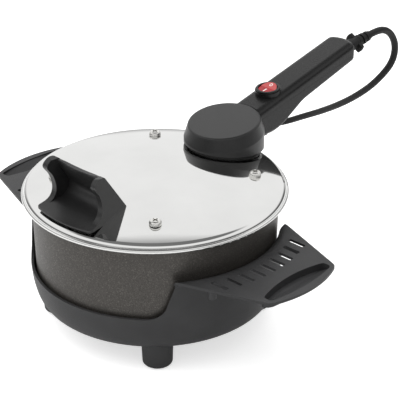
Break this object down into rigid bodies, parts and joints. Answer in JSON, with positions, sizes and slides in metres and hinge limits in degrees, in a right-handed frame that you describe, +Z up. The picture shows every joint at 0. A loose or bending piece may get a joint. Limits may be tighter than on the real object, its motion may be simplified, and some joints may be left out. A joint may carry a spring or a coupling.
{
  "type": "electric cooking pot",
  "caption": "Electric cooking pot: metal pan in a footed stand with wing handles, loose heating lid with scooped grip, terminal housing, long handle, rocker switch and lead.",
  "frame": {"origin": "on the table, under the middle of the pot with its handle and without the free lead", "axes": "+Y points from the front grip along the long handle to the lead, +Z is up, X runs across the two wing handles"},
  "size_m": [0.3704, 0.4961, 0.1901],
  "materials": {
    "stand_plastic": "fine satin grain, dark slate grey",
    "foot_rubber": "matte black",
    "pan_metal": "non-stick coating, dark metallic speckle, bright rim edge",
    "lid_steel": "polished top, satin band",
    "cover_steel": "satin sheet",
    "wool": "mineral wool",
    "element_steel": "dull sheath",
    "small_steel": "plated",
    "black_plastic": "heat-resistant, satin with fine grain",
    "bezel_plastic": "glossy black",
    "rocker_red": "glossy translucent red",
    "contact_brass": "plain",
    "block_ceramic": "glazed ceramic or moulded resin",
    "lead_rubber": "matte black",
    "tie_plastic": "soft black strip",
    "wire_brown": "insulation",
    "wire_blue": "insulation",
    "wire_green": "insulation"
  },
  "bodies": {
    "stand": {"stand": "stand_plastic", "foot_pads": "foot_rubber"},
    "pan": {"pan": "pan_metal"},
    "lid": {"lid_shell": "lid_steel", "inner_cover": "cover_steel", "reflector_plate": "cover_steel", "insulation_disc": "wool", "heating_element": "element_steel", "element_clips": "small_steel", "lid_spacers": "small_steel", "lid_nuts": "small_steel", "lid_screws": "small_steel", "front_grip": "black_plastic", "grip_spacer": "black_plastic", "grip_screws": "small_steel", "knob_cap": "black_plastic", "knob_spacer": "black_plastic", "housing_screws": "small_steel", "arm_upper": "black_plastic", "arm_lower": "black_plastic", "arm_screws": "small_steel", "switch_bezel": "bezel_plastic", "switch_body": "bezel_plastic", "switch_tabs": "contact_brass", "cord_gland": "lead_rubber", "strain_relief": "lead_rubber", "cord_clamp": "black_plastic", "cord_clamp_screws": "small_steel", "terminal_block": "block_ceramic", "terminal_screws": "contact_brass", "thermal_cutout": "block_ceramic", "earth_tag": "contact_brass", "earth_screw": "small_steel", "neutral_lead": "wire_blue", "live_lead": "wire_brown", "switch_lead": "wire_brown", "earth_lead": "wire_green", "cord_coil": "lead_rubber", "cord": "lead_rubber", "coil_tie": "tie_plastic", "plug_body": "lead_rubber", "plug_pins": "contact_brass"},
    "rocker": {"switch_rocker": "rocker_red"}
  },
  "joints": [
    {"name": "pan_lift", "type": "slide", "parent": "stand", "child": "pan", "axis": [0, 0, 1], "range_m": [0, 0.1]},
    {"name": "lid_lift", "type": "slide", "parent": "pan", "child": "lid", "axis": [0, 0, 1], "range_m": [0, 0.08]},
    {"name": "switch_rock", "type": "hinge", "parent": "lid", "child": "rocker", "pos_m": [0, 0.05607, 0.16921], "axis": [-1, 0, 0], "range_deg": [0, 16]}
  ]
}
